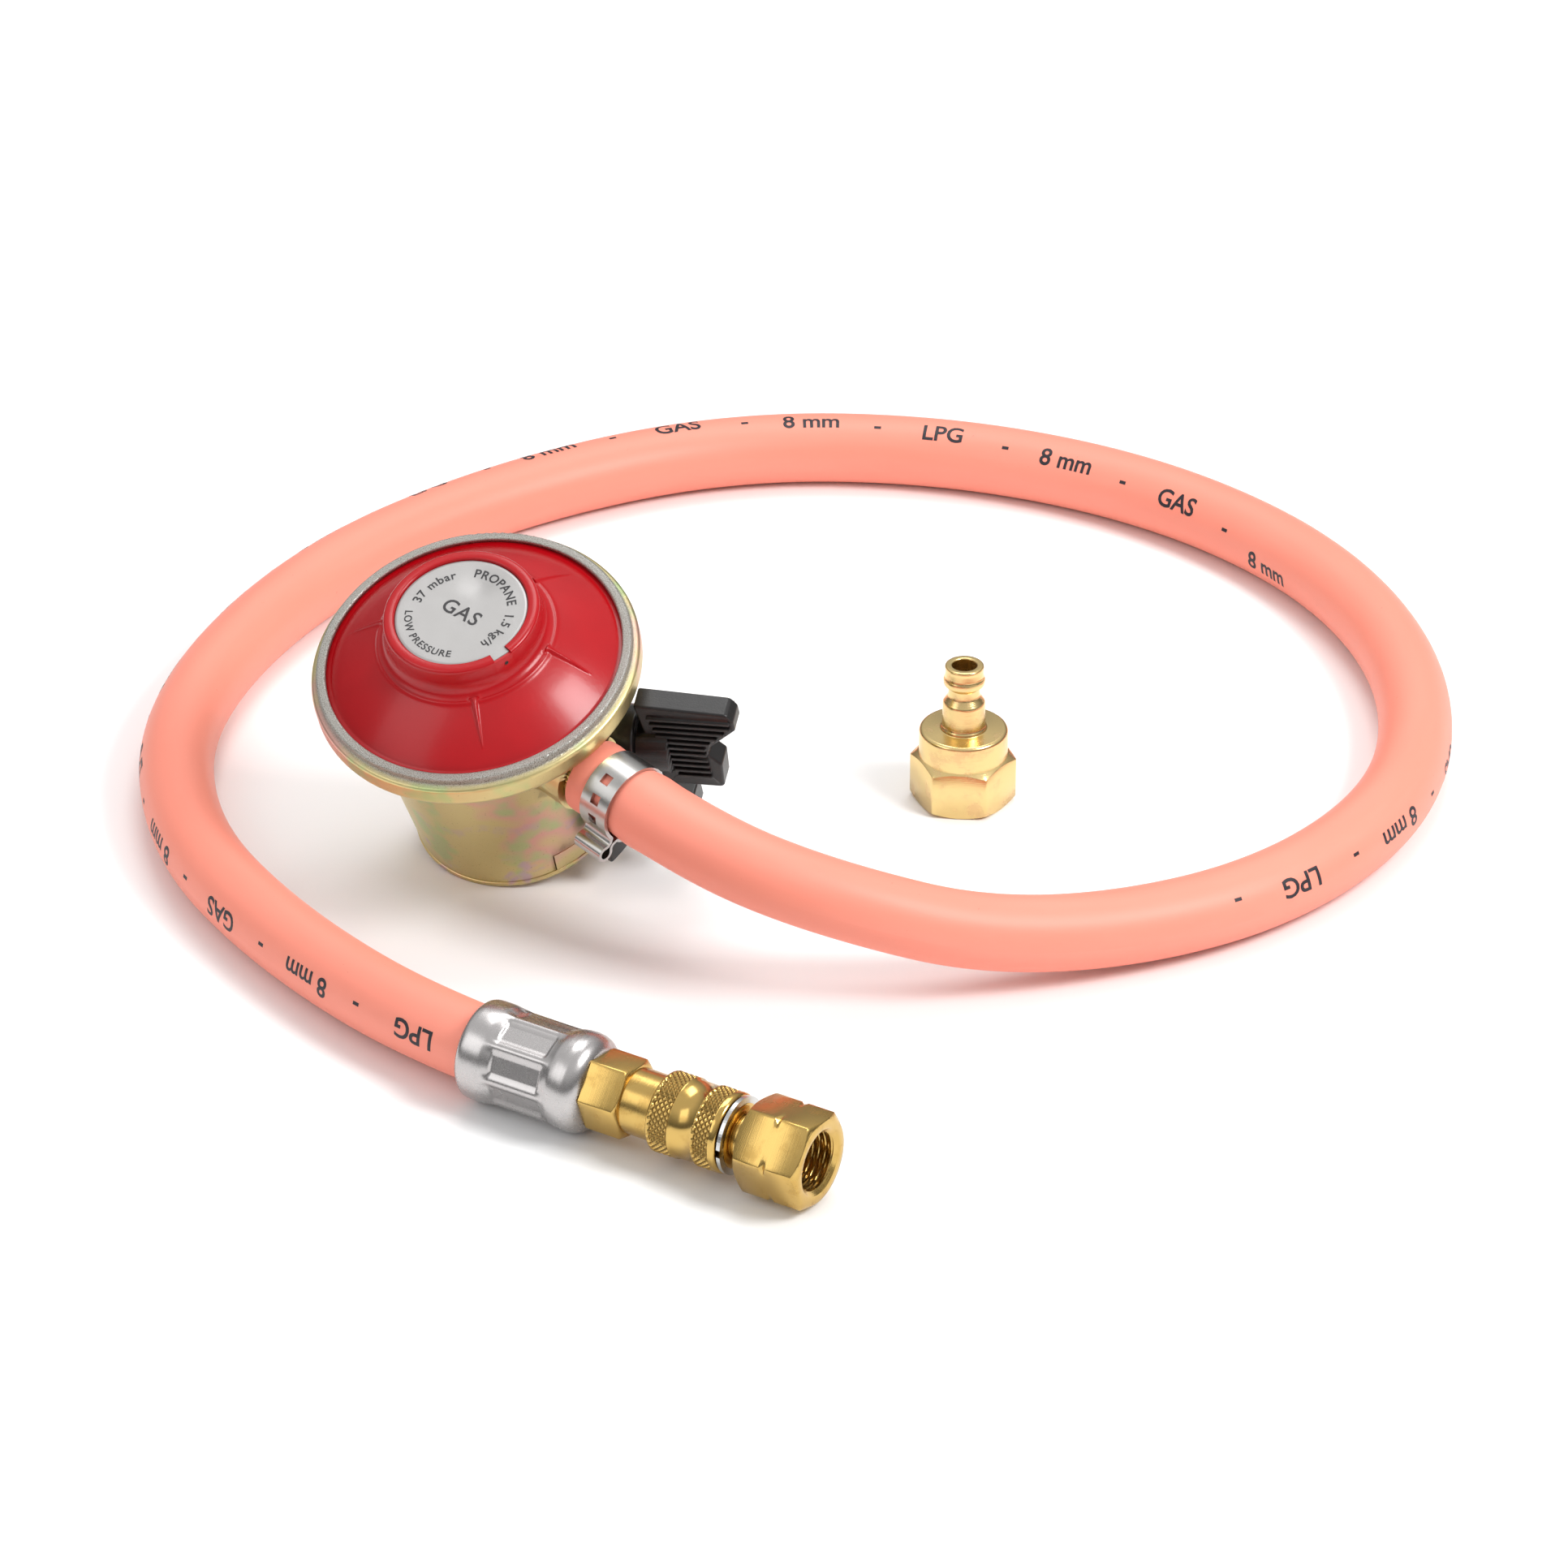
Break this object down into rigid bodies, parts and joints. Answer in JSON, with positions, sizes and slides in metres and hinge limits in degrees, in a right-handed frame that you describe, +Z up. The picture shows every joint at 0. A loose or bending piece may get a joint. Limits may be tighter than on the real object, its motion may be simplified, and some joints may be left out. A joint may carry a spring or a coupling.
{
  "type": "propane regulator hose",
  "caption": "Clip-on low-pressure gas regulator with a flexible hose that ends in a crimped quick-release coupler and nut, with a loose spare plug adapter.",
  "frame": {"origin": "bottom centre of the regulator and the spare adapter, on the surface they stand on; the free hose and what is on it are left out of that box", "axes": "+Z up from the surface, +X along the longest side of that box, from the regulator towards the adapter"},
  "size_m": [0.2705, 0.3049, 0.0707],
  "materials": {
    "zinc_passivated": null,
    "plated_ring": "yellow passivated pressed steel",
    "red_paint": "glossy red stove enamel on a metal pressing",
    "label_alu": "satin printed aluminium",
    "brass": "machined brass",
    "brass_plated": "machined brass with a pale passivated film",
    "steel": "bright steel",
    "crimp_steel": "satin plated steel, crimped",
    "black_plastic": "moulded black nylon, semi-matt",
    "hose_rubber": "smooth salmon-orange rubber with black ink marks",
    "black_rubber": "black nitrile rubber"
  },
  "bodies": {
    "root": {"body_casting": "zinc_passivated", "bottom_ring": "plated_ring", "bonnet": "red_paint", "label_disc": "label_alu", "adjusting_screw": "brass", "main_spring": "steel", "diaphragm": "black_rubber", "lever_pin": "steel", "seat_nozzle": "brass", "inlet_stem": "brass", "inlet_seal": "black_rubber", "plunger_spring": "steel", "switch_housing": "black_plastic", "hose_nozzle": "brass", "hose_clamp": "steel", "hose": "hose_rubber", "ferrule": "crimp_steel", "coupler_body": "brass", "sleeve_spring": "steel", "snap_ring": "steel", "poppet_spring": "steel", "plug_seal": "black_rubber"},
    "switch": {"switch_spindle": "steel", "spindle_seal": "black_rubber", "switch_lever": "black_plastic"},
    "plunger": {"inlet_plunger": "steel"},
    "jaw": {"locking_jaw": "steel", "jaw_button": "black_plastic"},
    "diaphragm_set": {"diaphragm_plate": "steel", "diaphragm_stem": "brass", "stem_nut": "steel"},
    "valve_lever": {"inner_lever": "steel", "valve_pad": "black_rubber"},
    "sleeve": {"coupler_sleeve": "brass"},
    "poppet": {"coupler_poppet": "brass"},
    "plug": {"plug_nut": "brass"},
    "adapter": {"spare_adapter": "brass_plated"},
    "ball_1": {"lock_ball_1": "steel"},
    "ball_2": {"lock_ball_2": "steel"},
    "ball_3": {"lock_ball_3": "steel"},
    "ball_4": {"lock_ball_4": "steel"}
  },
  "joints": [
    {"name": "switch_turn", "type": "hinge", "parent": "root", "child": "switch", "pos_m": [-0.03466, 0.00093, 0.03057], "axis": [0.9675, -0.2449, 0.0625], "range_deg": [-90.01, 0]},
    {"name": "plunger_push", "type": "slide", "parent": "root", "child": "plunger", "axis": [0.1489, 0.3525, -0.9239], "range_m": [0, 0.0017], "deforming": ["plunger_spring"]},
    {"name": "jaw_slide", "type": "slide", "parent": "root", "child": "jaw", "axis": [-0.9675, 0.2449, -0.0625], "range_m": [0, 0.0023]},
    {"name": "diaphragm_move", "type": "slide", "parent": "root", "child": "diaphragm_set", "axis": [-0.1489, -0.3525, 0.9239], "range_m": [0, 0.0012], "stiffness_N_per_m": 1500, "deforming": ["main_spring", "diaphragm"]},
    {"name": "lever_rock", "type": "hinge", "parent": "root", "child": "valve_lever", "pos_m": [-0.04328, -0.0029, 0.04006], "axis": [0.0273, -0.9354, -0.3525], "range_deg": [0, 9.87]},
    {"name": "sleeve_slide", "type": "slide", "parent": "root", "child": "sleeve", "axis": [-0.8526, 0.5225, 0], "range_m": [0, 0.003], "stiffness_N_per_m": 1200, "springref_m": -0.002, "deforming": ["sleeve_spring"]},
    {"name": "poppet_slide", "type": "slide", "parent": "root", "child": "poppet", "axis": [-0.8526, 0.5225, 0], "range_m": [0, 0.0015], "stiffness_N_per_m": 300, "springref_m": -0.002, "deforming": ["poppet_spring"]},
    {"name": "plug_swivel", "type": "hinge", "parent": "root", "child": "plug", "pos_m": [0.011, -0.11231, 0.0099], "axis": [0.8526, -0.5225, 0], "continuous": true},
    {"name": "adapter_lift", "type": "slide", "parent": "root", "child": "adapter", "axis": [0, 0, 1], "range_m": [0, 0.08]},
    {"name": "ball_1_out", "type": "slide", "parent": "root", "child": "ball_1", "axis": [-0.5225, -0.8526, 0], "range_m": [0, 0.0007]},
    {"name": "ball_2_out", "type": "slide", "parent": "root", "child": "ball_2", "axis": [0, 0, -1], "range_m": [0, 0.0007]},
    {"name": "ball_3_out", "type": "slide", "parent": "root", "child": "ball_3", "axis": [0.5225, 0.8526, 0], "range_m": [0, 0.0007]},
    {"name": "ball_4_out", "type": "slide", "parent": "root", "child": "ball_4", "axis": [0, 0, 1], "range_m": [0, 0.0007]}
  ],
  "couplings": [
    {"joint": "plunger_push", "follows": "jaw_slide", "ratio": 0.73913},
    {"joint": "switch_turn", "follows": "jaw_slide", "rad_per_m": -682.95},
    {"joint": "lever_rock", "follows": "diaphragm_move", "rad_per_m": 142.86},
    {"joint": "ball_1_out", "follows": "sleeve_slide", "ratio": 0.23333},
    {"joint": "ball_2_out", "follows": "sleeve_slide", "ratio": 0.23333},
    {"joint": "ball_3_out", "follows": "sleeve_slide", "ratio": 0.23333},
    {"joint": "ball_4_out", "follows": "sleeve_slide", "ratio": 0.23333}
  ]
}
